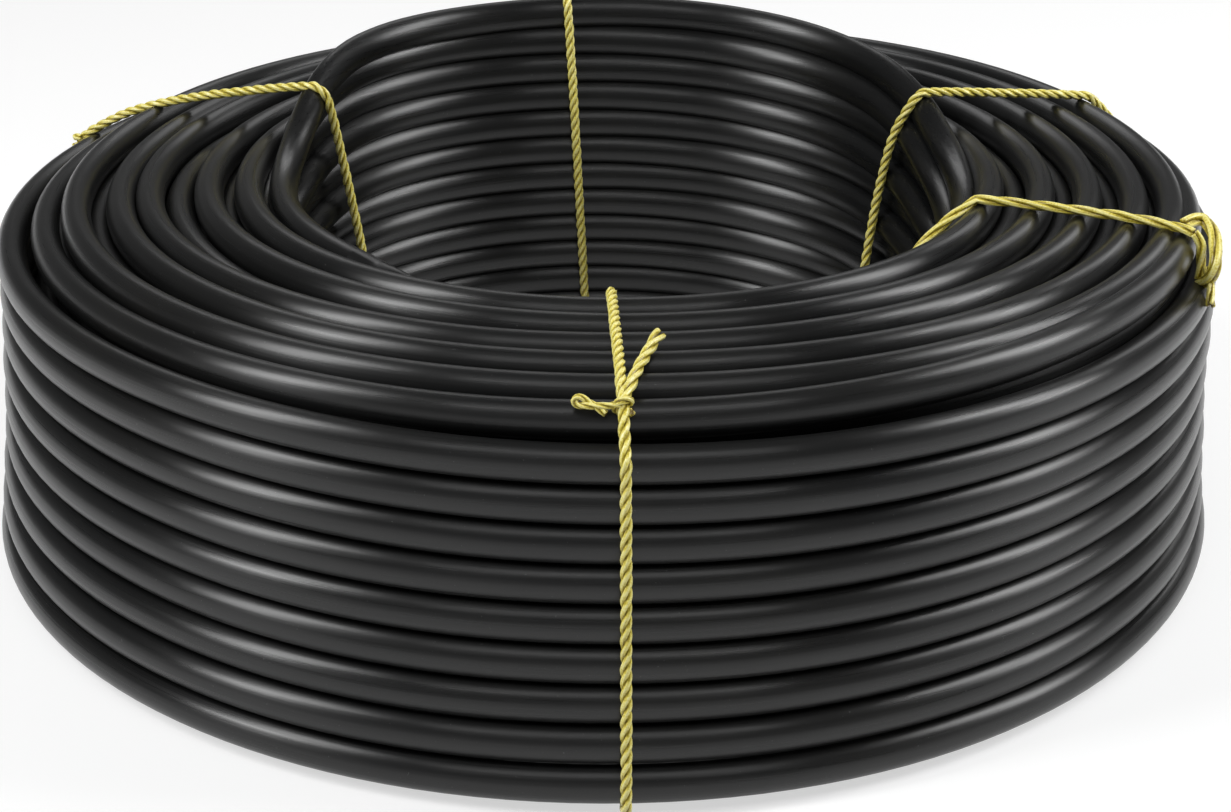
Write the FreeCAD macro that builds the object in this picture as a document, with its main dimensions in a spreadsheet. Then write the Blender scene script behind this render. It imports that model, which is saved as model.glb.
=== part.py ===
import FreeCAD, Part
import Sketcher
import math
import os
import re

# A coil of soaker hose that lies flat, eye up, tied by five loops of twine.
# Millimetres, +Z up, origin on the floor under the middle of the coil's eye.

Vector = FreeCAD.Vector
doc = FreeCAD.newDocument("SoakerHoseCoil")

# Driving dimensions
sheet = doc.addObject("Spreadsheet::Sheet", "Sizes")
SIZES = [
    ("hose_diameter", 16.0),
    ("hose_bore", 13.0),
    ("clearance", 0.4),
    ("floor_gap", 1.0),
    ("inner_wall_radius", 179.0),
    ("inner_turns_count", 2.4),
    ("inner_gap", 2.5),
    ("inner_back_rise", 41.0),
    ("loose_end_inset", 16.0),
    ("loose_end_drop", 6.0),
    ("loose_turn_part", 0.35),
    ("inner_end_angle", 218.0),
    ("top_edge_step", 11.0),
    ("top_gap", 10.3),
    ("top_turns_count", 3.0),
    ("top_crown", 4.0),
    ("shoulder_gap", 0.6),
    ("shoulder_sink", 3.4),
    ("wall_tuck", 1.5),
    ("outer_wall_flare", 12.0),
    ("outer_gap", 1.5),
    ("outer_turns_count", 8.5),
    ("outer_end_angle", 90.0),
    ("end_length", 40.0),
    ("twine", 4.5),
    ("knot", 11.0),
    ("tail", 46.0),
    ("tie_front_angle", -89.0),
    ("tie_right_angle", -21.0),
    ("tie_right_back_angle", 28.0),
    ("tie_back_angle", 96.0),
    ("tie_left_back_angle", 150.0),
]
# Sizes that follow from them
FOLLOWING = [
    ("layer", "hose_diameter / 2 + clearance"),
    ("base_turn_height", "floor_gap + twine + layer"),
    ("outer_pitch", "hose_diameter + outer_gap"),
    ("wall_height", "outer_pitch * outer_turns_count"),
    ("shoulder_height", "base_turn_height + wall_height + hose_diameter - shoulder_sink"),
    ("top_height", "shoulder_height + top_crown"),
    ("loose_end_height", "top_height - loose_end_drop"),
    ("loose_end_radius", "inner_wall_radius - loose_end_inset"),
    ("inner_last_height", "loose_end_height - (hose_diameter + inner_gap) * (inner_turns_count - loose_turn_part)"),
    ("top_first_radius", "inner_wall_radius + top_edge_step"),
    ("crossed_radius", "top_first_radius + (hose_diameter + top_gap) * top_turns_count"),
    ("shoulder_radius", "crossed_radius + hose_diameter + shoulder_gap"),
    ("outer_wall_radius", "shoulder_radius + hose_diameter - wall_tuck"),
    ("wall_foot_radius", "outer_wall_radius + outer_wall_flare"),
]
ALIASES = [alias for alias, value in SIZES + FOLLOWING]
for row, (alias, value) in enumerate(SIZES + FOLLOWING, start=1):
    sheet.set("A%d" % row, alias)
    sheet.set("B%d" % row, "=" + value if isinstance(value, str) else str(value))
    sheet.setAlias("B%d" % row, alias)
doc.recompute()


def size(alias):
    return float(getattr(sheet, alias))


HOSE_RADIUS = size("hose_diameter") / 2
BACK = 90.0


# The turns' centreline, worked out from a count of turns
def smooth(part):
    part = min(1.0, max(0.0, part))
    return part * part * (3 - 2 * part)


def between(turns, stations):
    """The value at this many turns, straight between (turns, value) stations."""
    for (a, low), (b, high) in zip(stations, stations[1:]):
        if turns <= b:
            return low + (high - low) * (turns - a) / (b - a)
    return stations[-1][1]


def around(angle, radius, height):
    turn = math.radians(angle)
    return Vector(radius * math.cos(turn), radius * math.sin(turn), height)


def back_share(angle):
    """1 at the back of the coil, 0 at the front half."""
    off_back = abs((angle - BACK + 180) % 360 - 180)
    return smooth(1 - off_back / 100)


INNER_COUNT = size("inner_turns_count")
LOOSE_COUNT = size("loose_turn_part")


def inner_angle(turns):
    return size("inner_end_angle") - 360 * turns


def inner_place(turns):
    """Radius and height of the loose inner turn, which then winds down the eye's wall."""
    height = between(turns, [(0, size("loose_end_height")), (LOOSE_COUNT, size("loose_end_height")),
                             (INNER_COUNT, size("inner_last_height"))])
    height += size("inner_back_rise") * back_share(inner_angle(turns))
    drawn_in = size("inner_wall_radius") - size("loose_end_radius")
    radius = size("inner_wall_radius") - drawn_in * smooth(1 - turns / LOOSE_COUNT)
    return radius, height


def inner_point(turns):
    radius, height = inner_place(turns)
    return around(inner_angle(turns), radius, height)


TOP_COUNT = size("top_turns_count")
WALL_START = TOP_COUNT + 2
OUTER_COUNT = WALL_START + size("outer_turns_count")
WALL_TOP = size("base_turn_height") + size("wall_height")


def outer_angle(turns):
    return size("outer_end_angle") + 360 * (OUTER_COUNT - turns)


def flare(height):
    """The outer wall stands wider towards the floor."""
    up = (height - size("base_turn_height")) / size("wall_height")
    return size("outer_wall_flare") * (1 - min(1.0, up)) ** 2


def outer_place(turns):
    """Radius and height of the turns that cross the top, round the shoulder and go down."""
    top = size("top_height")
    radius = between(turns, [(0, size("top_first_radius")), (TOP_COUNT, size("crossed_radius")),
                             (TOP_COUNT + 1, size("shoulder_radius")),
                             (WALL_START, size("outer_wall_radius"))])
    height = between(turns, [(0, top), (TOP_COUNT, top), (TOP_COUNT + 1, size("shoulder_height")),
                             (WALL_START, WALL_TOP), (OUTER_COUNT, size("base_turn_height"))])
    if turns > WALL_START:
        radius += flare(height)
    return radius, height


def outer_point(turns):
    radius, height = outer_place(turns)
    return around(outer_angle(turns), radius, height)


# A tube of hose: quarter turn biarcs with a straight end on each side
def arc_between(start, corner, end):
    """The arc from start to end whose tangents meet at corner."""
    middle = (start + end) * 0.5
    half_chord = (end - start).Length / 2
    lean = math.acos(min(1.0, half_chord / (corner - start).Length))
    if lean < 1e-6:
        return Part.LineSegment(start, end).toShape()
    rise = math.tan(lean / 2) / math.tan(lean)
    return Part.Arc(start, middle + (corner - middle) * rise, end).toShape()


def biarc(start, start_way, end, end_way):
    chord = start - end
    ways = start_way + end_way
    a = 2 * (start_way.dot(end_way) - 1)
    b = 2 * chord.dot(ways)
    c = chord.dot(chord)
    reach = (-b - math.sqrt(b * b - 4 * a * c)) / (2 * a)
    first = start + start_way * reach
    last = end - end_way * reach
    joint = (first + last) * 0.5
    return [arc_between(start, first, joint), arc_between(joint, last, end)]


def way_at(point_at, turns):
    step = 0.02
    way = point_at(turns + step) - point_at(turns - step)
    return way.normalize()


def biarc_places(first_angle, count, quarters_until):
    """Counts of turns at the coil's back and front, and at its sides as well for the first few."""
    to_back = ((first_angle - BACK) % 360) / 360
    places = [0, to_back / 2]
    turns = to_back
    while turns < count - 0.1:
        places.append(turns)
        turns += 0.25 if turns < quarters_until else 0.5
    return places + [count]


def centreline(point_at, angle_at, places):
    """Edges from the first straight end to the last, and the two end points and ways. It ends level."""
    steps = len(places) - 1
    points = [point_at(turns) for turns in places]
    ways = [way_at(point_at, turns) for turns in places]
    last = math.radians(angle_at(places[-1]))
    ways[-1] = Vector(math.sin(last), -math.cos(last), 0)
    straight = size("hose_diameter")
    start = points[0] - ways[0] * straight
    end = points[-1] + ways[-1] * straight
    edges = [Part.LineSegment(start, points[0]).toShape()]
    for k in range(steps):
        edges += biarc(points[k], ways[k], points[k + 1], ways[k + 1])
    edges.append(Part.LineSegment(points[-1], end).toShape())
    return edges, (start, ways[0] * -1), (end, ways[-1])


SECTION_SIDES = 4


def hose_tube(edges, start, way):
    """A faceted tube along the edges, with its corners on the hose's own circle."""
    across = way.cross(Vector(0, 0, 1)).normalize()
    upward = across.cross(way).normalize()
    corners = []
    for k in range(SECTION_SIDES + 1):
        turn = 2 * math.pi * k / SECTION_SIDES
        corners.append(start + across * (HOSE_RADIUS * math.cos(turn))
                       + upward * (HOSE_RADIUS * math.sin(turn)))
    section = Part.makePolygon(corners)
    shell = Part.BRepOffsetAPI.MakePipeShell(Part.Wire(edges))
    shell.add(section)
    shell.build()
    shell.makeSolid()
    return shell.shape()


def least_gap(point_at, count):
    """The least gap between one turn and another, measured on points."""
    per_turn = 72
    points = [point_at(k / per_turn) for k in range(int(count * per_turn) + 1)]
    least = 1e9
    for k, point in enumerate(points):
        for other in points[k + per_turn // 2:k + 2 * per_turn]:
            least = min(least, (point - other).Length)
    return least - size("hose_diameter")


def add_shape(name, shape):
    feature = doc.addObject("Part::Feature", name)
    feature.Label = name
    feature.Shape = shape
    return feature


inner_places = biarc_places(size("inner_end_angle"), INNER_COUNT, 1)
outer_places = biarc_places(outer_angle(0), OUTER_COUNT, 0)
inner_edges, inner_start, inner_stop = centreline(inner_point, inner_angle, inner_places)
outer_edges, outer_start, outer_stop = centreline(outer_point, outer_angle, outer_places)
inner_turns = add_shape("inner_turns", hose_tube(inner_edges, inner_start[0], inner_start[1] * -1))
outer_turns = add_shape("outer_turns", hose_tube(outer_edges, outer_start[0], outer_start[1] * -1))
for label, point_at, count in (("inner", inner_point, INNER_COUNT), ("outer", outer_point, OUTER_COUNT)):
    gap = least_gap(point_at, count)
    print(label, "turns", round(count, 2), "least gap", round(gap, 2))
    if gap < 0.4:
        raise RuntimeError("The %s turns touch each other" % label)


# The turns inside the coil, one plain ring under the outer layer
def dim(text):
    """A formula in the sheet's names, such as 'twine / 2', as an expression."""
    return re.sub(r"\b[a-z]+_?[a-z_]*\b", lambda m: "Sizes." + m[0] if m[0] in ALIASES else m[0], text)


def outline_sketch(body, name, corners):
    """A closed outline in the XZ plane whose corners are given as pairs of formulas."""
    sketch = body.newObject("Sketcher::SketchObject", name)
    plane = [f for f in body.Origin.OriginFeatures if f.Role == "XZ_Plane"][0]
    sketch.AttachmentSupport = (plane, [""])
    sketch.MapMode = "FlatFace"
    count = len(corners)
    guess = [Vector(100 + 10 * math.cos(2 * math.pi * k / count), 10 * math.sin(2 * math.pi * k / count), 0)
             for k in range(count)]
    for k in range(count):
        sketch.addGeometry(Part.LineSegment(guess[k], guess[(k + 1) % count]), False)
    for k in range(count):
        sketch.addConstraint(Sketcher.Constraint("Coincident", k, 2, (k + 1) % count, 1))
    for k, (across, up) in enumerate(corners):
        row = sketch.addConstraint(Sketcher.Constraint("DistanceX", -1, 1, k, 1, guess[k].x))
        sketch.setExpression("Constraints[%d]" % row, dim(across))
        row = sketch.addConstraint(Sketcher.Constraint("DistanceY", -1, 1, k, 1, guess[k].y))
        sketch.setExpression("Constraints[%d]" % row, dim(up))
    return sketch


# The outer face is a straight cone that just clears the turns where the flare curves furthest in
RING = [
    ("inner_wall_radius + clearance * 4", "0 * clearance"),
    ("inner_wall_radius - hose_diameter / 2", "base_turn_height"),
    ("inner_wall_radius - hose_diameter / 2", "inner_last_height - layer - 3 * clearance"),
    ("inner_wall_radius + layer", "inner_last_height - layer - 3 * clearance"),
    ("inner_wall_radius + layer", "top_height - layer"),
    ("crossed_radius - 0.3 * layer", "top_height - layer"),
    ("outer_wall_radius - outer_wall_flare / 4 - layer - clearance", "base_turn_height + wall_height - 0.5 * layer"),
    ("wall_foot_radius - outer_wall_flare / 4 - layer - clearance", "0 * clearance"),
]
ring = doc.addObject("PartDesign::Body", "ring")
ring_outline = outline_sketch(ring, "ring_outline", RING)
doc.recompute()
turned = ring.newObject("PartDesign::Revolution", "ring_turned")
turned.Profile = ring_outline
turned.ReferenceAxis = (ring_outline, ["V_Axis"])
turned.Angle = 360
ring.Tip = turned
doc.recompute()

TIES = ("tie_front", "tie_right", "tie_right_back", "tie_back", "tie_left_back")


def groove(tie):
    """The way under the ring that a tie passes along, clear of the floor."""
    box = doc.addObject("Part::Box", tie + "_groove")
    reach = "(inner_wall_radius - layer - twine)"
    side = "(twine / 2 + clearance)"
    turn = "(%s_angle * 1 deg)" % tie
    box.setExpression("Length", dim("wall_foot_radius + layer - " + reach))
    box.setExpression("Width", dim("2 * " + side))
    box.setExpression("Height", dim("base_turn_height - layer + clearance"))
    box.setExpression("Placement.Rotation.Angle", dim(turn))
    box.setExpression("Placement.Base.x", dim("%s * cos(%s) + %s * sin(%s)" % (reach, turn, side, turn)))
    box.setExpression("Placement.Base.y", dim("%s * sin(%s) - %s * cos(%s)" % (reach, turn, side, turn)))
    return box


grooves = doc.addObject("Part::MultiFuse", "grooves")
grooves.Shapes = [groove(tie) for tie in TIES]
hidden_turns = doc.addObject("Part::Cut", "hidden_turns")
hidden_turns.Base = ring
hidden_turns.Tool = grooves
doc.recompute()


# The two cut ends of the hose, with their bore
def hose_end(name, place, way):
    outside = doc.addObject("Part::Prism", name + "_outside")
    bore = doc.addObject("Part::Cylinder", name + "_bore")
    outside.Polygon = 16
    outside.setExpression("Circumradius", dim("hose_diameter / 2"))
    outside.setExpression("Height", dim("end_length"))
    bore.setExpression("Radius", dim("hose_bore / 2"))
    bore.setExpression("Height", dim("end_length"))
    end = doc.addObject("Part::Cut", name)
    end.Base = outside
    end.Tool = bore
    end.Placement = FreeCAD.Placement(place, FreeCAD.Rotation(Vector(0, 0, 1), way))
    mouth = place + way * size("end_length")
    print(name, "mouth", [round(c, 3) for c in mouth], "way", [round(c, 5) for c in way])
    return end


inner_end = hose_end("inner_end", *inner_start)
outer_end = hose_end("outer_end", *outer_stop)


# The twine ties, each pulled tight round the coil's section
def turns_at(angle, angle_at, place_at, count):
    """Radius and height of each turn where it passes this angle."""
    straight_end = 0.05
    turns = ((angle_at(0) - angle + 360 * straight_end) % 360) / 360 - straight_end
    found = []
    while turns <= count + straight_end:
        found.append(place_at(turns))
        turns += 1
    return found


def hull(points):
    """The points' convex outline, anticlockwise."""
    points = sorted(set(points))

    def chain(ordered):
        kept = []
        for p in ordered:
            while len(kept) > 1:
                (ax, ay), (bx, by) = kept[-2], kept[-1]
                if (bx - ax) * (p[1] - ay) - (by - ay) * (p[0] - ax) > 1e-6:
                    break
                kept.pop()
            kept.append(p)
        return kept[:-1]
    return chain(points) + chain(points[::-1])


def tight_loop(corners, distance):
    """A face bounded by lines and arcs at this distance outside the convex outline."""
    edges = []
    count = len(corners)
    for k in range(count):
        before, here, after = (Vector(*corners[(k + step) % count], 0) for step in (-1, 0, 1))
        came = (here - before).normalize()
        goes = (after - here).normalize()
        out_before = Vector(came.y, -came.x, 0)
        out_after = Vector(goes.y, -goes.x, 0)
        middle = (out_before + out_after).normalize()
        edges.append(Part.Arc(here + out_before * distance, here + middle * distance,
                              here + out_after * distance).toShape())
        edges.append(Part.LineSegment(here + out_after * distance, after + out_after * distance).toShape())
    return Part.Face(Part.Wire(edges))


def radial(angle):
    """Turns a shape drawn with X as radius and Y as height into the upright plane at this angle."""
    upright = FreeCAD.Rotation(Vector(1, 0, 0), 90)
    turned_about = FreeCAD.Rotation(Vector(0, 0, 1), angle)
    return FreeCAD.Placement(Vector(), turned_about * upright)


def strand(start, way, length):
    """A square sided piece of twine."""
    side = size("twine")
    tail = Part.makeBox(side, side, length, Vector(-side / 2, -side / 2, 0))
    tail.Placement = FreeCAD.Placement(start, FreeCAD.Rotation(Vector(0, 0, 1), way))
    return tail


def knot_shape(middle):
    """An eight sided lump, as long as it is wide."""
    radius = size("knot") / 2
    corners = [middle + Vector(radius * math.cos(k * math.pi / 4), radius * math.sin(k * math.pi / 4), -radius)
               for k in range(9)]
    return Part.Face(Part.makePolygon(corners)).extrude(Vector(0, 0, size("knot")))


def tie(name, knot_corner, tails):
    """A flat sided loop of twine with its knot beside the outline's given corner, and its tails."""
    angle = size(name + "_angle")
    places = turns_at(angle, inner_angle, inner_place, INNER_COUNT)
    places += turns_at(angle, outer_angle, outer_place, OUTER_COUNT)
    places.append((size("inner_wall_radius"), size("base_turn_height")))
    places.append((max(radius for radius, height in places), size("base_turn_height")))
    corners = hull([(round(radius, 3), round(height, 3)) for radius, height in places])
    inside = size("layer")
    band = tight_loop(corners, inside + size("twine")).cut(tight_loop(corners, inside))
    loop = band.extrude(Vector(0, 0, size("twine")))
    loop.translate(Vector(0, 0, -size("twine") / 2))
    here = Vector(*max(corners, key=lambda c: c[0] * knot_corner[0] + c[1] * knot_corner[1]), 0)
    outward = Vector(*knot_corner, 0).normalize()
    knot_at = here + outward * (inside + size("knot") / 2)
    shape = loop.fuse(knot_shape(knot_at))
    for across, out, up, share in tails:
        way = Vector(out, up, -across).normalize()
        shape = shape.fuse(strand(knot_at, way, size("tail") * share))
    feature = add_shape(name, shape.removeSplitter())
    feature.Placement = radial(angle)
    return feature


# Where each knot sits on the outline, and each tail's way: along the coil, outward, up, share of length
SHOULDER = (0.6, 0.8)
FRONT_TAILS = [(0.45, -0.45, 0.77, 1.0), (-1.0, 0.05, 0.05, 0.6)]
ties = [
    tie("tie_front", SHOULDER, FRONT_TAILS),
    tie("tie_right", SHOULDER, [(0.9, 0.1, -0.3, 0.5), (0.4, 0.3, 0.85, 0.5)]),
    tie("tie_right_back", SHOULDER, []),
    tie("tie_back", SHOULDER, []),
    tie("tie_left_back", SHOULDER, []),
]

parts = [hidden_turns, inner_turns, outer_turns, inner_end, outer_end] + ties
doc.recompute()
for item in doc.Objects:
    if "Invalid" in item.State or "Error" in item.State:
        raise RuntimeError("%s is %s" % (item.Name, item.State))
for part in parts:
    if part.Shape.isNull() or not part.Shape.isValid() or len(part.Shape.Solids) != 1:
        raise RuntimeError("%s is not one valid solid" % part.Label)

os.makedirs("parts", exist_ok=True)
for part in parts:
    part.Shape.exportStep("parts/%s.step" % part.Label)
    box = part.Shape.BoundBox
    print(part.Label, "volume", round(part.Shape.Volume), "z", round(box.ZMin, 2), round(box.ZMax, 2))
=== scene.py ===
import math

import bpy
import numpy as np
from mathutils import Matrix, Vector


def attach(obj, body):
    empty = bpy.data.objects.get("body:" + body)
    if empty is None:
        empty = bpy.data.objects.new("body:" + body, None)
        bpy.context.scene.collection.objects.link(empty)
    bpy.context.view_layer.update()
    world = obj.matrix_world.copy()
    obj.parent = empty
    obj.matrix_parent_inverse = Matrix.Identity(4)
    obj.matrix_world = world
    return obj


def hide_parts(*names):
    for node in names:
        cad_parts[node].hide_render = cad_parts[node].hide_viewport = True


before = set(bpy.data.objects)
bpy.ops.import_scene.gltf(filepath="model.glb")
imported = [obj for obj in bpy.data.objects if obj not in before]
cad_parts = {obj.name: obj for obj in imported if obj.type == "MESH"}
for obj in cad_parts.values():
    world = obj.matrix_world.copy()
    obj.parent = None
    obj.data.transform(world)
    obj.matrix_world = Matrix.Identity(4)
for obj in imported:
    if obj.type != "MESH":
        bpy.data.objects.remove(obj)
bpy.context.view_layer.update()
rng = np.random.default_rng(7)

# Sizes in metres. The coil's axis is the origin, +Z is up and the camera stands on the -Y side.
HOSE = 0.016
# Wound tight, the soft hose is a little taller than it is thick, with its round outline's length
HALF_HEIGHT = HOSE / 2 * 1.09
HALF_THICKNESS = HOSE / 2 * 0.915
BORE = 0.013
TWINE = 0.0050
POINTS_PER_TURN = 36
HIDDEN_POINTS_PER_TURN = 20
RING_HEIGHT = 0.178
BASE_HEIGHT = 0.0139
WALL_RADIUS = 0.3006
WALL_FLARE = 0.012
WALL_TURNS = 9
END_LENGTH = 0.040

# Where the turns are placed: angles that the hose passes, seen from above it runs clockwise
RIGHT_BACK = 30
RIGHT = -21
FRONT = -89
FRONT_LEFT = -130
LEFT = -176
LEFT_BACK = -208
STATIONS = (RIGHT_BACK, RIGHT, FRONT, FRONT_LEFT, LEFT, LEFT_BACK)
# Millimetres from the axis of the turns on top of the coil, from the eye outward, at each station
MM_PER_METRE = 1000
TOP_RINGS = [
    (196, 193, 187, 184, 183, 188),
    (219, 218, 206, 203, 203, 205),
    (242, 242, 228, 229, 232, 230),
    (262, 265.5, 248.5, 247, 246, 243),
    (279, 283, 272.5, 271, 268, 264),
    (287, 291, 287, 286, 283, 281),
]
# The outermost of these dips between the ring inside it and the wall's first turn
SHOULDER_HEIGHTS = (0.170, 0.176, 0.1725, 0.172, 0.169, 0.166)
# The wall's turns lie further apart at the front left than on the right
WALL_PITCHES = (0.0179, 0.0177, 0.0181, 0.0186, 0.0184, 0.0181)
# and lean out less towards the floor on the right
WALL_INSETS = (0.004, 0.0055, 0, 0, 0, 0.001)


def smooth(part):
    part = np.clip(part, 0, 1)
    return part * part * (3 - 2 * part)


def through(angles, values):
    """A function of the angle travelled that passes smoothly through the values."""
    angles = np.array(angles, float)
    values = np.array(values, float)
    slopes = np.gradient(values, angles)

    def value(angle):
        k = np.clip(np.searchsorted(angles, angle) - 1, 0, len(angles) - 2)
        span = angles[k + 1] - angles[k]
        t = np.clip((angle - angles[k]) / span, 0, 1)
        return (values[k] * (1 - t) ** 2 * (1 + 2 * t) + values[k + 1] * t * t * (3 - 2 * t)
                + span * slopes[k] * t * (1 - t) ** 2 - span * slopes[k + 1] * t * t * (1 - t))
    return value


def travelled(station, turn):
    """Degrees travelled clockwise since the angle 90, at the back."""
    return 90 - station + 360 * turn


def at_angle(degrees, radius, height):
    """A place at this angle, counted anticlockwise from +X."""
    turned = math.radians(degrees)
    return Vector((radius * math.cos(turned), radius * math.sin(turned), height))


def coil_point(angle, radius, height):
    """A place at this angle travelled, counted clockwise from the back."""
    return at_angle(90 - angle, radius, height)


def wall_top(pitch):
    """Height of the wall's first turn where its turns are this far apart."""
    return BASE_HEIGHT + pitch * (WALL_TURNS - 1)


def wall_radius(height, top):
    """The outer wall leans out towards the floor."""
    up = (height - BASE_HEIGHT) / (top - BASE_HEIGHT)
    return WALL_RADIUS + WALL_FLARE * (1 - min(up, 1)) ** 2


# The turns across the top, one long spiral that goes on down the outer wall
RINGS = len(TOP_RINGS)
outer_angles = []
outer_radii = []
outer_heights = []
for turn in range(RINGS + WALL_TURNS):
    for at, station in enumerate(STATIONS):
        outer_angles.append(travelled(station, turn))
        if turn < RINGS:
            radius = TOP_RINGS[turn][at] / MM_PER_METRE
            height = SHOULDER_HEIGHTS[at] if turn == RINGS - 1 else RING_HEIGHT
        else:
            height = BASE_HEIGHT + WALL_PITCHES[at] * (RINGS + WALL_TURNS - 1 - turn)
            top = wall_top(WALL_PITCHES[at])
            down = (top - height) / (top - BASE_HEIGHT)
            radius = wall_radius(height, top) - WALL_INSETS[at] * down
        outer_radii.append(radius)
        outer_heights.append(height)
outer_radius = through(outer_angles, outer_radii)
outer_height = through(outer_angles, outer_heights)
# Small slow unevenness of a hand wound coil, a few waves a turn
UNEVENNESS = 0.0005
WAVES = [(waves, rng.random()) for waves in (1.3, 2.1, 3.7)]


def uneven(turn):
    return sum(math.sin(2 * math.pi * (waves * turn + start)) / waves for waves, start in WAVES) * UNEVENNESS


def outer_place(turn):
    """Radius and height of the long spiral after this many turns from the back."""
    angle = 360 * turn
    return outer_radius(angle) + uneven(turn), outer_height(angle)


# Rings further apart than this, in hoses, would let the turn between them fall through
WIDEST_HALF_GAP = 0.98


def nested_place(turn):
    """The turn that lies in the valley between a ring on top and the next."""
    inside = outer_radius(360 * turn)
    outside = outer_radius(360 * (turn + 1))
    half_gap = min((outside - inside) / 2, HOSE * WIDEST_HALF_GAP)
    return (inside + outside) / 2, RING_HEIGHT - math.sqrt(HOSE ** 2 - half_gap ** 2)


# The eye's wall: the loose inner end, then turns down to the floor, which stand higher at the back
BACK_RISE = 0.041
# How far the eye's wall stands up, from 0 to 1, at degrees from the back
LEFT_RISE = ((0, 40, 50, 58, 65, 72, 80, 92), (1, 1, 0.96, 0.85, 0.61, 0.32, 0.10, 0))
RIGHT_RISE = ((0, 20, 38, 50, 58, 65, 72, 80, 94), (1, 0.98, 0.91, 0.82, 0.71, 0.55, 0.33, 0.13, 0))
INNER_WALL_RADIUS = 0.1795
INNER_TOP = 0.174
INNER_PITCH = 0.0134
INNER_BACK_PITCH = 0.0160
INNER_TURNS = 12.9
LOOSE_START = 218
LOOSE_INSET = 0.0155
LOOSE_TURN_PART = 0.35
# Turns over which the loose end joins the wall, and over which its lean fades
LOOSE_JOIN = 0.1
LOOSE_LEAN = 0.007
LEAN_FADE = 1.5
# The wall's turns lie by turns nearer and further from the axis; they change over this sharply
SIDE_CHANGE = 3


def back_share(angle):
    """1 across the back, 0 past the sides. The angle is travelled, so the left comes before the back."""
    off = (angle + 180) % 360 - 180
    return float(np.interp(abs(off), *(LEFT_RISE if off < 0 else RIGHT_RISE)))


def inner_place(turn):
    """Radius and height after this many turns, counted from the back before the loose end."""
    share = back_share(360 * turn)
    since = turn - (90 - LOOSE_START) / 360
    pitch = INNER_PITCH + (INNER_BACK_PITCH - INNER_PITCH) * share
    down = max(0.0, since - LOOSE_TURN_PART)
    loose = 1 - smooth(since / (LOOSE_TURN_PART + LOOSE_JOIN))
    front = INNER_TOP - INNER_PITCH * down
    back = INNER_TOP + BACK_RISE - INNER_BACK_PITCH * down
    height = front + (back - front) * share
    zigzag = 0.5 * math.sqrt(HOSE ** 2 - pitch ** 2)
    phase = since - LOOSE_TURN_PART
    side = float(np.clip(SIDE_CHANGE * math.cos(math.pi * phase), -1, 1))
    lean = LOOSE_LEAN * share * math.exp(-down / LEAN_FADE)
    radius = INNER_WALL_RADIUS + side * zigzag * min(1, down * 2) + lean - LOOSE_INSET * loose
    return radius, max(height, BASE_HEIGHT)


# The turns packed inside, in columns that lie in the grooves of the wall outside them
COLUMN_STEP = 0.0132
COLUMN_PLAY = 0.001
COLUMN_TURNS = 8


def column_points(column, upward):
    """One column of turns, wound down or up; the odd columns lie half a turn's height higher."""
    start = 0.5 if column % 2 else 1.0
    points = []
    for step in range(COLUMN_TURNS * HIDDEN_POINTS_PER_TURN):
        gone = step / HIDDEN_POINTS_PER_TURN
        turn = RINGS + COLUMN_TURNS - gone + start if upward else RINGS + gone + start
        height = outer_height(360 * turn)
        radius = wall_radius(height, wall_top(WALL_PITCHES[0])) - COLUMN_STEP * column - COLUMN_PLAY
        points.append(coil_point(360 * step / HIDDEN_POINTS_PER_TURN, radius, height))
    return points


# Curve pieces
def spline_piece(name, points, resolution=4):
    """A smooth open spline with the route's points as its control points."""
    data = bpy.data.curves.new(name, "CURVE")
    data.dimensions = "3D"
    data.resolution_u = resolution
    spline = data.splines.new("NURBS")
    spline.points.add(len(points) - 1)
    for at, point in zip(spline.points, points):
        at.co = (*point, 1)
    spline.order_u = 3
    spline.use_endpoint_u = True
    spline.resolution_u = resolution
    piece = bpy.data.objects.new(name, data)
    bpy.context.scene.collection.objects.link(piece)
    return piece


def spline_points(name, points, resolution=8):
    """Points read from the smooth spline through a route."""
    guide = spline_piece(name, points, resolution)
    mesh = bpy.data.meshes.new_from_object(guide)
    path = np.array([vertex.co[:] for vertex in mesh.vertices])
    bpy.data.meshes.remove(mesh)
    bpy.data.objects.remove(guide)
    return path


def hose_outline(sides):
    """The hose's oval section, which its turns follow with the long way up."""
    data = bpy.data.curves.new("hose_section", "CURVE")
    spline = data.splines.new("POLY")
    spline.points.add(sides - 1)
    for side, at in enumerate(spline.points):
        turn = 2 * math.pi * side / sides
        at.co = (HALF_THICKNESS * math.cos(turn), HALF_HEIGHT * math.sin(turn), 0, 1)
    spline.use_cyclic_u = True
    return bpy.data.objects.new("hose_section", data)


def hose_piece(name, points, outline):
    """A length of hose as a mesh tube along its route, with the line that it follows."""
    guide = spline_piece(name + "_guide", points)
    guide.data.twist_mode = "Z_UP"
    guide.data.bevel_mode = "OBJECT"
    guide.data.bevel_object = outline
    mesh = bpy.data.meshes.new_from_object(guide.evaluated_get(bpy.context.evaluated_depsgraph_get()))
    mesh.name = name
    bpy.data.objects.remove(guide)
    piece = bpy.data.objects.new(name, mesh)
    bpy.context.scene.collection.objects.link(piece)
    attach(piece, "root")
    return piece, spline_points(name + "_line", points, 4)


def mesh_piece(name, vertices, faces):
    mesh = bpy.data.meshes.new(name)
    mesh.from_pydata([tuple(v) for v in vertices], [], faces)
    mesh.polygons.foreach_set("use_smooth", [True] * len(mesh.polygons))
    piece = bpy.data.objects.new(name, mesh)
    bpy.context.scene.collection.objects.link(piece)
    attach(piece, "root")
    return piece


# The cut ends, where the CAD has them: the mouth's middle and the way that it faces
OUTER_MOUTH = Vector((0.056, 0.312, BASE_HEIGHT))
OUTER_WAY = Vector((1, 0, 0))
INNER_MOUTH = Vector((-0.0938, -0.1444, 0.17325))
INNER_WAY = Vector((0.6185, -0.7858, 0))


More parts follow.
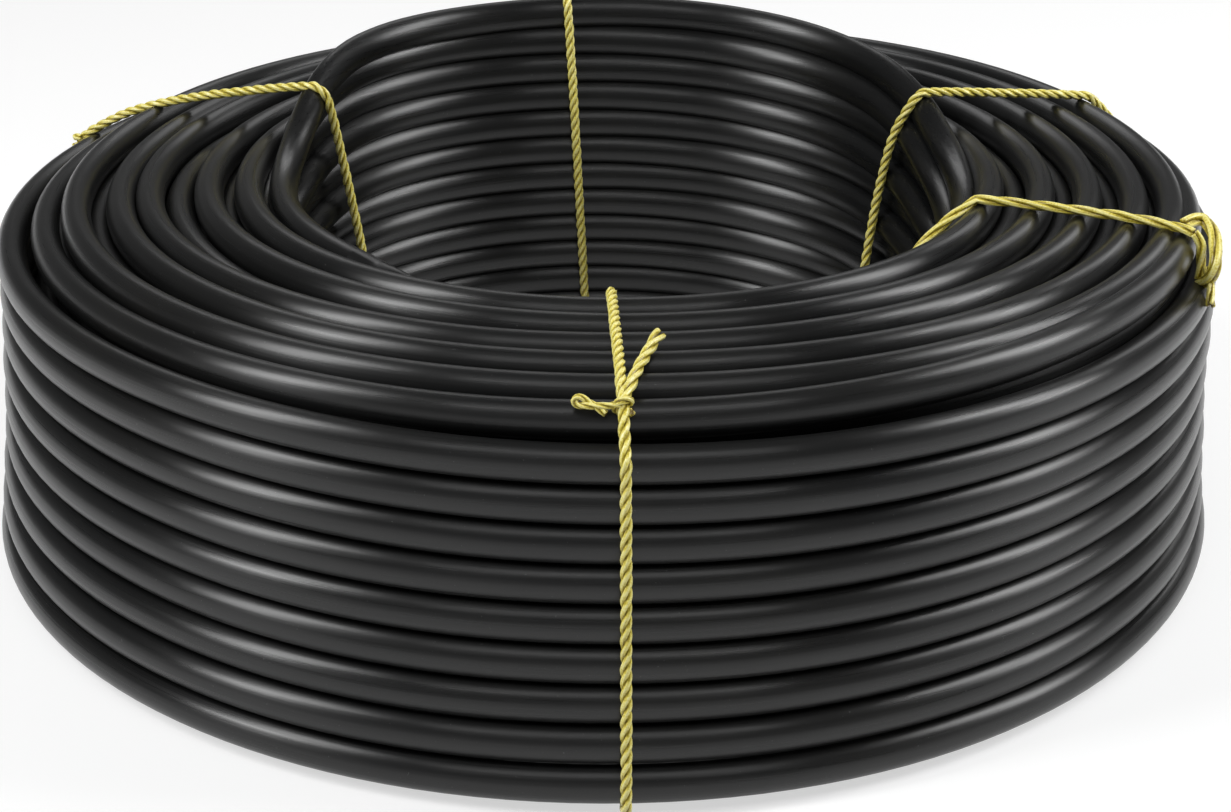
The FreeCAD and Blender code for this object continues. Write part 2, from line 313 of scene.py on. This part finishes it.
def route_of(place, turns):
    """The places of a hose after each of these turns."""
    return [coil_point(360 * turn, *place(turn)) for turn in turns]


fine_outline = hose_outline(24)
plain_outline = hose_outline(12)
outer_turns = np.arange(travelled(RIGHT_BACK, 0) / 360, RINGS + WALL_TURNS - 0.02, 1 / POINTS_PER_TURN)
outer_route = route_of(outer_place, outer_turns)
outer_route += [OUTER_MOUTH - OUTER_WAY * back for back in (0.048, END_LENGTH - 0.005)]
outer_hose, outer_line = hose_piece("outer_hose", outer_route, fine_outline)

nested_turns = np.arange(travelled(RIGHT_BACK, 0) / 360, RINGS - 1, 1 / POINTS_PER_TURN)
nested_route = route_of(nested_place, nested_turns)
nested_hose, nested_line = hose_piece("nested_hose", nested_route, fine_outline)

inner_route = [INNER_MOUTH - INNER_WAY * back for back in (END_LENGTH - 0.005, END_LENGTH + 0.006)]
inner_start = (90 - LOOSE_START + 4) / 360
inner_route += route_of(inner_place, np.arange(inner_start, INNER_TURNS + inner_start, 1 / POINTS_PER_TURN))
inner_hose, inner_line = hose_piece("inner_hose", inner_route, fine_outline)


def columns_route(columns):
    """Columns wound one after the other, the first downward, the next upward."""
    points = []
    for number, column in enumerate(columns):
        points += column_points(column, number % 2 == 1)
    return points


odd_columns, odd_line = hose_piece("packed_hose_odd", columns_route((1, 3, 5, 7)), plain_outline)
even_columns, even_line = hose_piece("packed_hose_even", columns_route((2, 4, 6)), plain_outline)
hoses = [(outer_hose, outer_line), (nested_hose, nested_line), (inner_hose, inner_line),
         (odd_columns, odd_line), (even_columns, even_line)]


END_SIDES = 40
# The rim's rounding, how thick the bore's bottom is, and how far the end's skin stands over the hose's
END_EDGE = 0.0005
BOTTOM = 0.001
END_COVER = 0.0001


def hose_end(name, mouth, way):
    """A cut end with its bore: outside, a slightly rounded rim, and the bore's wall and bottom."""
    sides = END_SIDES
    edge = END_EDGE
    middle = END_LENGTH / 2
    profile = [(END_LENGTH, HOSE / 2), (middle, HOSE / 2), (edge, HOSE / 2), (0, HOSE / 2 - edge),
               (0, BORE / 2 + edge / 2), (edge, BORE / 2), (middle, BORE / 2),
               (END_LENGTH - BOTTOM, BORE / 2), (END_LENGTH - BOTTOM / 2, 0.0001)]
    across = way.cross(Vector((0, 0, 1))).normalized()
    up = across.cross(way)
    vertices = []
    for back, radius in profile:
        for side in range(sides):
            turn = 2 * math.pi * side / sides
            outside = radius > BORE * 0.55
            oval = back / END_LENGTH if outside else 0
            thick = radius * (1 + oval * (2 * HALF_THICKNESS / HOSE - 1)) + END_COVER * oval
            tall = radius * (1 + oval * (2 * HALF_HEIGHT / HOSE - 1)) + END_COVER * oval
            vertices.append(mouth - way * back + across * thick * math.cos(turn)
                            + up * tall * math.sin(turn))
    faces = []
    for ring in range(len(profile) - 1):
        for side in range(sides):
            a = ring * sides + side
            b = ring * sides + (side + 1) % sides
            faces.append((a, b, b + sides, a + sides))
    return mesh_piece(name, vertices, faces)


outer_end = hose_end("outer_cut_end", OUTER_MOUTH, OUTER_WAY)
inner_end = hose_end("inner_cut_end", INNER_MOUTH, INNER_WAY)


# Twine: three plies twisted round a smooth route, each a fluted strand of fibres
TWINE_STEP = 0.0009
PLIES = 3
PLY_SIDES = 16
PLY_RADIUS = TWINE * 0.255
PLY_OFFSET = TWINE * 0.245
# Each ply is fluted by two sets of fibres, the finer ones shallower and wound the other way
FLUTE_DEPTH = 0.11
FLUTES = 5
FINE_FLUTES = 8
FINE_DEPTH = 0.6
FINE_TWIST = 0.7
FIBRE_LAY = 0.030
# A frayed end opens by this share over this length
FRAY = 0.5
FRAY_LENGTH = 0.008
WALL_LAY = 0.0185
TOP_LAY = 0.0195


def even_steps(path, step):
    """The same line with its points evenly spaced."""
    runs = np.linalg.norm(np.diff(path, axis=0), axis=1)
    path = path[np.concatenate([[True], runs > 1e-7])]
    along = np.concatenate([[0], np.cumsum(np.linalg.norm(np.diff(path, axis=0), axis=1))])
    wanted = np.linspace(0, along[-1], max(4, int(along[-1] / step)))
    return np.stack([np.interp(wanted, along, path[:, axis]) for axis in range(3)], axis=1), wanted


def frames_along(path):
    """Two directions across the line at each point, carried along it without twist."""
    ways = np.gradient(path, axis=0)
    ways /= np.linalg.norm(ways, axis=1, keepdims=True)
    first = np.cross(ways[0], (0.31, 0.17, 0.93))
    firsts = [first / np.linalg.norm(first)]
    for way in ways[1:]:
        carried = firsts[-1] - way * np.dot(firsts[-1], way)
        firsts.append(carried / np.linalg.norm(carried))
    firsts = np.array(firsts)
    return firsts, np.cross(ways, firsts)


def twine_piece(name, route, lay_at, fray=False, thickness=1.0):
    """The twine along a route. lay_at gives the length of one twist at a point."""
    path, along = even_steps(spline_points(name + "_route", route), TWINE_STEP)
    first, second = frames_along(path)
    lays = np.array([lay_at(point) for point in path])
    ply_turn = 2 * math.pi * np.concatenate([[0], np.cumsum(np.diff(along) / lays[1:])])
    spread = np.ones(len(path)) * thickness
    if fray:
        spread = thickness * (1 + FRAY * smooth(1 - (along[-1] - along) / FRAY_LENGTH))
    around = 2 * math.pi * np.arange(PLY_SIDES) / PLY_SIDES
    vertices = []
    faces = []
    groove_shades = []
    for ply in range(PLIES):
        ply_at = ply_turn + 2 * math.pi * ply / PLIES
        outward = first * np.cos(ply_at)[:, None] + second * np.sin(ply_at)[:, None]
        middle = path + outward * (PLY_OFFSET * spread)[:, None]
        across, up = frames_along(middle)
        fibres = 2 * math.pi * along / FIBRE_LAY + ply
        start = len(vertices)
        for k, point in enumerate(middle):
            fine = FINE_DEPTH * np.cos(FINE_FLUTES * around - FINE_TWIST * fibres[k])
            flutes = 1 + FLUTE_DEPTH * (np.cos(FLUTES * around + fibres[k]) + fine)
            ring = (across[k] * np.cos(around)[:, None] + up[k] * np.sin(around)[:, None]) * flutes[:, None]
            ring = point + ring * PLY_RADIUS * thickness
            vertices.extend(ring)
            # Each point's distance from the route, as a share of the twine's reach, used for painted shade
            # in the grooves between the plies
            reach = PLY_OFFSET * spread[k] + PLY_RADIUS * thickness
            groove_shades.extend(np.linalg.norm(ring - path[k], axis=1) / reach)
        for k in range(len(middle) - 1):
            for side in range(PLY_SIDES):
                here = start + k * PLY_SIDES + side
                beside = start + k * PLY_SIDES + (side + 1) % PLY_SIDES
                faces.append((here, beside, beside + PLY_SIDES, here + PLY_SIDES))
        last = start + (len(middle) - 1) * PLY_SIDES
        faces.append(tuple(start + side for side in reversed(range(PLY_SIDES))))
        faces.append(tuple(last + side for side in range(PLY_SIDES)))
    piece = mesh_piece(name, vertices, faces)
    # The material darkens the colour by this share, as painted shade in the grooves
    groove_shade = piece.data.attributes.new("groove_shade", "FLOAT", "POINT")
    groove_shade.data.foreach_set("value", groove_shades)
    return piece


def hull(points):
    """The points' convex outline, anticlockwise."""
    points = sorted(set(points))

    def chain(ordered):
        kept = []
        for p in ordered:
            while len(kept) > 1:
                (ax, ay), (bx, by) = kept[-2], kept[-1]
                if (bx - ax) * (p[1] - ay) - (by - ay) * (p[0] - ax) > 1e-9:
                    break
                kept.pop()
            kept.append(p)
        return kept[:-1]
    return chain(points) + chain(points[::-1])


def section(angle, with_wall):
    """Radius and height of each turn of the visible hoses where they pass this angle."""
    share = (90 - angle) / 360 % 1
    last = RINGS + WALL_TURNS if with_wall else RINGS
    places = [outer_place(share + n) for n in range(last) if share + n > outer_turns[0]]
    if not with_wall:
        places.append((WALL_RADIUS - COLUMN_STEP, BASE_HEIGHT))
    low = (90 - LOOSE_START) / 360
    places += [inner_place(share + n) for n in range(-1, 13) if low + 0.02 < share + n < low + INNER_TURNS]
    return [(float(radius), float(height)) for radius, height in places]


# The most that a tie bends at one point of its route, in degrees
TIE_BEND = 35


def tie_corners(angle, with_wall):
    """Points that bend the tie's route round each turn it touches, as radius and height."""
    corners = hull(section(angle, with_wall))
    count = len(corners)
    points = []
    for k in range(count):
        before, here, after = (Vector(corners[(k + step) % count]) for step in (-1, 0, 1))
        came = (here - before).normalized()
        goes = (after - here).normalized()
        start = math.atan2(-came.x, came.y)
        sweep = (math.atan2(-goes.x, goes.y) - start) % (2 * math.pi)
        bends = max(1, math.ceil(sweep / math.radians(TIE_BEND)))
        bend = sweep / bends
        for n in range(bends):
            turn = start + bend * (n + 0.5)
            wider = 1 / math.cos(bend / 2)
            points.append((here.x + (HALF_THICKNESS + TWINE / 2) * wider * math.cos(turn),
                           here.y + (HALF_HEIGHT + TWINE / 2) * wider * math.sin(turn)))
    return points


# Over these radii a tie goes from the eye's wall onto the top of the coil
EYE_EDGE = 0.178
EYE_EDGE_WIDTH = 0.016


class Slant:
    """A tie isn't quite in one plane: its angles by radius on top, and by height down the eye's wall.
    knot_side says how much the knot is drawn outward rather than upward."""

    def __init__(self, plane, across, inside, knot_side=0.7):
        self.plane = plane
        self.across = list(zip(*across))
        self.inside = list(zip(*inside))
        self.knot_side = knot_side

    def at(self, radius, height):
        eye = np.interp(height, *self.inside)
        outside = np.interp(radius, *self.across)
        if height < RING_HEIGHT / 2:
            ends = (self.inside[1][0], self.across[1][-1])
            outside = np.interp(radius, (INNER_WALL_RADIUS, WALL_RADIUS), ends)
        return eye + (outside - eye) * float(smooth((radius - EYE_EDGE) / EYE_EDGE_WIDTH))


# The top begins at this height and ends at this radius, each with a short change
TOP_FROM = 0.170
TOP_CHANGE = 0.015
TOP_UNTIL = 0.300
EDGE_CHANGE = 0.010


def lay_of_tie(point):
    """The front twine's twist is a little looser on top of the coil than on its walls."""
    radius = math.hypot(point[0], point[1])
    on_top = smooth((point[2] - TOP_FROM) / TOP_CHANGE) * smooth((TOP_UNTIL - radius) / EDGE_CHANGE)
    return WALL_LAY + (TOP_LAY - WALL_LAY) * on_top


def tie(side, slant, lay_at):
    """One loop of twine. It starts and ends at its knot outside. The one on the right goes in under the last
    ring, behind the wall's turns."""
    corners = tie_corners(slant.plane, side != "right")
    knot_at = max(range(len(corners)), key=lambda k: corners[k][0] * slant.knot_side + corners[k][1])
    corners = corners[knot_at:] + corners[:knot_at + 1]
    route = [at_angle(slant.at(radius, height), radius, height) for radius, height in corners]
    return twine_piece("twine_" + side, route, lay_at), route


KNOT_POINTS = 10
KNOT_THICKNESS = 0.7


def knot(side, route, turns=1.3, pitch=0.0048, radius=0.0034):
    """Twine wound round the two parts of the tie where they meet."""
    middle = route[0]
    way = (route[1] - route[-2]).normalized()
    across = way.cross(Vector((0.1, 0.2, 1))).normalized()
    up = way.cross(across)
    points = []
    count = int(turns * KNOT_POINTS)
    for k in range(count + 1):
        turn = 2 * math.pi * k / KNOT_POINTS
        along = (k / KNOT_POINTS - turns / 2) * pitch
        points.append(middle + way * along + across * radius * math.cos(turn) + up * radius * math.sin(turn))
    return twine_piece("knot_" + side, points, lambda point: WALL_LAY, thickness=KNOT_THICKNESS), middle


# Each tie's slant, read from the photo as angle by radius or height, and the length of its twist
TIES = {
    "front": (Slant(-89, ((0.19, -89.6), (0.31, -88.7)), ((0.0, -89.0), (0.18, -89.6))), lay_of_tie),
    "right": (Slant(-21, ((0.195, -18.5), (0.218, -16.8), (0.240, -16.8), (0.256, -17.3), (0.273, -18.4),
                          (0.290, -20.5)), ((0.0, -38), (0.150, -38), (0.183, -24))), lambda point: 0.050),
    "right_back": (Slant(23, ((0.20, 23), (0.31, 22)),
                         ((0.0, 36), (0.097, 31.4), (0.136, 28.7), (0.167, 26.3), (0.193, 23), (0.205, 22)),
                         3.0), lambda point: 0.020),
    "back": (Slant(96, ((0.20, 95.5), (0.31, 94.8)), ((0.0, 94), (0.222, 97.5)), 3.0), lambda point: 0.018),
    "left_back": (Slant(157, ((0.20, 157), (0.31, 159.5)),
                        ((0.0, 138), (0.105, 144.5), (0.131, 145.9), (0.162, 148.1), (0.184, 151),
                         (0.203, 156.5)), 3.0), lambda point: 0.020),
}
knot_places = {}
twines = []
# The right tie's knot is the bight and stub below
for side, (slant, lay_at) in TIES.items():
    loop, route = tie(side, slant, lay_at)
    twines.append(loop)
    if side != "right":
        knot_piece, knot_places[side] = knot(side, route)
        twines.append(knot_piece)
    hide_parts("tie_" + side)


def steps_from(place, *steps):
    return [place + Vector(step) for step in steps]


front_knot = knot_places["front"]
tail_up = twine_piece(
    "tail_front_up",
    steps_from(front_knot, (0, 0.002, 0.001), (0.003, 0.009, 0.005), (0.007, 0.025, 0.007),
               (0.011, 0.039, 0.008), (0.0155, 0.049, 0.011)),
    lambda point: 0.030, fray=True)
twines.append(tail_up)
tail_left = twine_piece(
    "tail_front_left",
    steps_from(front_knot, (0, -0.001, 0.001), (-0.006, -0.003, 0.001), (-0.013, -0.003, 0.001),
               (-0.0185, -0.002, 0.0005), (-0.0205, -0.0015, 0.003), (-0.0180, -0.001, 0.0045),
               (-0.014, -0.001, 0.002), (-0.007, -0.004, -0.002)),
    lambda point: 0.020, thickness=0.62)
twines.append(tail_left)

# The right tie's loose bight stands off the last ring and comes back to its stub under it
bight = twine_piece(
    "bight_right",
    [at_angle(-19.5, 0.290, 0.188), at_angle(-17.0, 0.296, 0.189), at_angle(-18.5, 0.303, 0.186),
     at_angle(-21.3, 0.3080, 0.180), at_angle(-22.4, 0.3085, 0.173), at_angle(-21.8, 0.3055, 0.166),
     at_angle(-21.2, 0.3010, 0.1625)],
    lambda point: 0.09, thickness=1.3)
twines.append(bight)
stub = twine_piece(
    "stub_right",
    [at_angle(-20.6, 0.3035, 0.170), at_angle(-21.6, 0.3060, 0.166), at_angle(-22.6, 0.3080, 0.161),
     at_angle(-23.4, 0.3090, 0.157)],
    lambda point: 0.04, fray=True, thickness=0.8)
twines.append(stub)


# Materials
def material(name):
    made = bpy.data.materials.new(name)
    made.use_nodes = True
    return made, made.node_tree.nodes, made.node_tree.links


def add_node(nodes, kind, **settings):
    node = nodes.new(kind)
    for key, value in settings.items():
        setattr(node, key, value)
    return node


def math_node(nodes, links, operation, first, second=None):
    node = add_node(nodes, "ShaderNodeMath", operation=operation)
    for socket, value in zip(node.inputs, (first, second)):
        if isinstance(value, (int, float)):
            socket.default_value = value
        elif value is not None:
            links.new(value, socket)
    return node.outputs[0]


def noise(nodes, links, scale, detail, vector=None, fourth=None):
    node = add_node(nodes, "ShaderNodeTexNoise")
    node.inputs["Scale"].default_value = scale
    node.inputs["Detail"].default_value = detail
    if fourth is not None:
        node.noise_dimensions = "4D"
        links.new(fourth, node.inputs["W"])
    if vector is not None:
        links.new(vector, node.inputs["Vector"])
    return node.outputs[0]


def grey(value):
    return value, value, value, 1


def ramp(nodes, links, value, stops):
    node = add_node(nodes, "ShaderNodeValToRGB")
    elements = node.color_ramp.elements
    for element, (place, colour) in zip(elements, (stops[0], stops[-1])):
        element.position = place
        element.color = colour
    for place, colour in stops[1:-1]:
        elements.new(place).color = colour
    links.new(value, node.inputs[0])
    return node.outputs[0]


# The lengthwise lines change slowly along the hose and fast across it
LINE_ALONG = 0.9
LINE_ACROSS = 420


def hose_material():
    """A black satin skin: faint lengthwise draw lines, slow cloudiness and a few pale specks."""
    made, nodes, links = material("hose_rubber")
    shader = nodes["Principled BSDF"]
    place = add_node(nodes, "ShaderNodeTexCoord").outputs["Object"]
    parts = add_node(nodes, "ShaderNodeSeparateXYZ")
    links.new(place, parts.inputs[0])
    x, y, z = parts.outputs
    squared = math_node(nodes, links, "ADD", math_node(nodes, links, "MULTIPLY", x, x),
                        math_node(nodes, links, "MULTIPLY", y, y))
    radius = math_node(nodes, links, "SQRT", squared)
    line = add_node(nodes, "ShaderNodeCombineXYZ")
    for socket, part in zip(line.inputs, (x, y)):
        share = math_node(nodes, links, "DIVIDE", part, radius)
        links.new(math_node(nodes, links, "MULTIPLY", share, LINE_ALONG), socket)
    links.new(math_node(nodes, links, "MULTIPLY", radius, LINE_ACROSS), line.inputs[2])
    lines = noise(nodes, links, 2.2, 3, line.outputs[0], math_node(nodes, links, "MULTIPLY", z, LINE_ACROSS))
    clouds = noise(nodes, links, 9, 4, place)
    grain = noise(nodes, links, 1400, 2, place)
    specks = noise(nodes, links, 800, 1, place)
    mix = add_node(nodes, "ShaderNodeMix", data_type="RGBA", blend_type="ADD")
    tint = ramp(nodes, links, clouds, [(0.3, (0.0045, 0.0048, 0.0051, 1)),
                                       (0.7, (0.0085, 0.0085, 0.0081, 1))])
    dust = ramp(nodes, links, specks, [(0.75, grey(0)), (0.82, grey(0.06))])
    mix.inputs["Factor"].default_value = 1
    links.new(tint, mix.inputs["A"])
    links.new(dust, mix.inputs["B"])
    links.new(mix.outputs["Result"], shader.inputs["Base Color"])
    rough = ramp(nodes, links, lines, [(0.3, grey(0.26)), (0.7, grey(0.34))])
    links.new(rough, shader.inputs["Roughness"])
    shader.inputs["Specular IOR Level"].default_value = 0.46
    shader.inputs["Anisotropic"].default_value = 0.8
    shader.inputs["Anisotropic Rotation"].default_value = 0.25
    tangent = add_node(nodes, "ShaderNodeTangent", direction_type="RADIAL", axis="Z")
    links.new(tangent.outputs[0], shader.inputs["Tangent"])
    relief = math_node(nodes, links, "ADD", math_node(nodes, links, "MULTIPLY", lines, 1.0),
                       math_node(nodes, links, "MULTIPLY", grain, 0.25))
    bump = add_node(nodes, "ShaderNodeBump")
    bump.inputs["Distance"].default_value = 0.0002
    bump.inputs["Strength"].default_value = 0.35
    links.new(relief, bump.inputs["Height"])
    links.new(bump.outputs[0], shader.inputs["Normal"])
    return made


def twine_material():
    """Glossy yellow plastic twine, with fine fibres, and painted shade: the colour darkens towards the
    twine's middle, in the grooves between its plies.
    """
    made, nodes, links = material("yellow_twine")
    shader = nodes["Principled BSDF"]
    place = add_node(nodes, "ShaderNodeTexCoord").outputs["Object"]
    fibres = noise(nodes, links, 900, 4, place)
    patches = noise(nodes, links, 60, 2, place)
    groove_shade = add_node(nodes, "ShaderNodeAttribute", attribute_name="groove_shade").outputs["Fac"]
    both = math_node(nodes, links, "ADD", math_node(nodes, links, "MULTIPLY", fibres, 0.25),
                     math_node(nodes, links, "MULTIPLY", patches, 0.10))
    # Painted shade: points nearer the twine's middle, in the grooves between the plies, take the darker
    # colours of the ramp
    both = math_node(nodes, links, "ADD", both, math_node(nodes, links, "MULTIPLY", groove_shade, 0.825))
    tint = ramp(nodes, links, both, [(0.62, (0.18, 0.12, 0.006, 1)), (0.82, (0.50, 0.40, 0.035, 1)),
                                     (0.93, (0.86, 0.74, 0.14, 1)), (1.0, (0.93, 0.86, 0.32, 1))])
    links.new(tint, shader.inputs["Base Color"])
    rough = ramp(nodes, links, fibres, [(0.3, grey(0.22)), (0.7, grey(0.40))])
    shader.inputs["Specular IOR Level"].default_value = 0.8
    links.new(rough, shader.inputs["Roughness"])
    bump = add_node(nodes, "ShaderNodeBump")
    bump.inputs["Distance"].default_value = 0.0002
    bump.inputs["Strength"].default_value = 0.5
    links.new(fibres, bump.inputs["Height"])
    links.new(bump.outputs[0], shader.inputs["Normal"])
    return made


hose_skin = hose_material()
twine_skin = twine_material()
for hose, line in hoses:
    hose.data.materials.append(hose_skin)
for end in (outer_end, inner_end):
    end.data.materials.append(hose_skin)
for piece in twines:
    piece.data.materials.append(twine_skin)

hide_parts("outer_turns")
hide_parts("inner_turns")
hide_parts("hidden_turns")
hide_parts("outer_end")
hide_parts("inner_end")

# Camera
CAMERA_AT = (0.0, -1.2391, 0.6068)
CAMERA_PITCH = 0.422
CAMERA_YAW = 0.003
FOCAL_PIXELS = 2555.6
PHOTO_WIDTH = 1231
SENSOR = 36
camera_data = bpy.data.cameras.new("camera")
camera_data.sensor_width = SENSOR
camera_data.lens = SENSOR * FOCAL_PIXELS / PHOTO_WIDTH
camera = bpy.data.objects.new("camera", camera_data)
camera.location = CAMERA_AT
camera.rotation_euler = (math.pi / 2 - CAMERA_PITCH, 0, -CAMERA_YAW)
bpy.context.scene.collection.objects.link(camera)
bpy.context.scene.camera = camera


# Studio light
def soft_light(name, place, target, size, power):
    data = bpy.data.lights.new(name, "AREA")
    data.shape = "RECTANGLE"
    data.size, data.size_y = size
    data.energy = power
    lamp = bpy.data.objects.new(name, data)
    lamp.location = place
    lamp.rotation_euler = (Vector(target) - Vector(place)).to_track_quat("-Z", "Y").to_euler()
    bpy.context.scene.collection.objects.link(lamp)


# Name, place in metres, size in metres and power in watts
LAMPS = [
    ("left_softbox", (-1.52, -0.66, 1.45), (0.6, 1.3), 29),
    ("right_softbox", (1.65, -0.12, 1.4), (0.6, 1.3), 27),
    ("front_softbox", (0, -1.25, 1.75), (1.8, 0.5), 9),
    ("back_softbox", (-0.1, 1.6, 1.3), (1.4, 0.5), 4),
    ("back_right_softbox", (1.3, 1.2, 1.1), (0.5, 0.8), 3),
]
AIM = (0, 0, 0.1)
for name, place, size, power in LAMPS:
    soft_light(name, place, AIM, size, power)

world = bpy.data.worlds.new("studio")
bpy.context.scene.world = world
world.use_nodes = True
background = world.node_tree.nodes["Background"]
background.inputs["Color"].default_value = grey(1)
background.inputs["Strength"].default_value = 0.12

# Floor
FLOOR = 8
floor_mesh = bpy.data.meshes.new("floor")
floor_mesh.from_pydata([(-FLOOR, -FLOOR, 0), (FLOOR, -FLOOR, 0), (FLOOR, FLOOR, 0), (-FLOOR, FLOOR, 0)], [],
                       [(0, 1, 2, 3)])
floor = bpy.data.objects.new("floor", floor_mesh)
bpy.context.scene.collection.objects.link(floor)
floor_paint, nodes, links = material("floor_white")
paint = nodes["Principled BSDF"]
paint.inputs["Base Color"].default_value = grey(0.45)
paint.inputs["Roughness"].default_value = 0.9
paint.inputs["Specular IOR Level"].default_value = 0.1
paint.inputs["Emission Color"].default_value = grey(1)
ray = add_node(nodes, "ShaderNodeLightPath").outputs
seen = math_node(nodes, links, "MAXIMUM", ray["Is Camera Ray"],
                 math_node(nodes, links, "MAXIMUM", ray["Is Glossy Ray"], ray["Is Transmission Ray"]))
FLOOR_GLOW = 0.60
links.new(math_node(nodes, links, "MULTIPLY", seen, FLOOR_GLOW), paint.inputs["Emission Strength"])
floor.data.materials.append(floor_paint)
bpy.context.scene.view_settings.view_transform = "Standard"

bpy.context.view_layer.update()
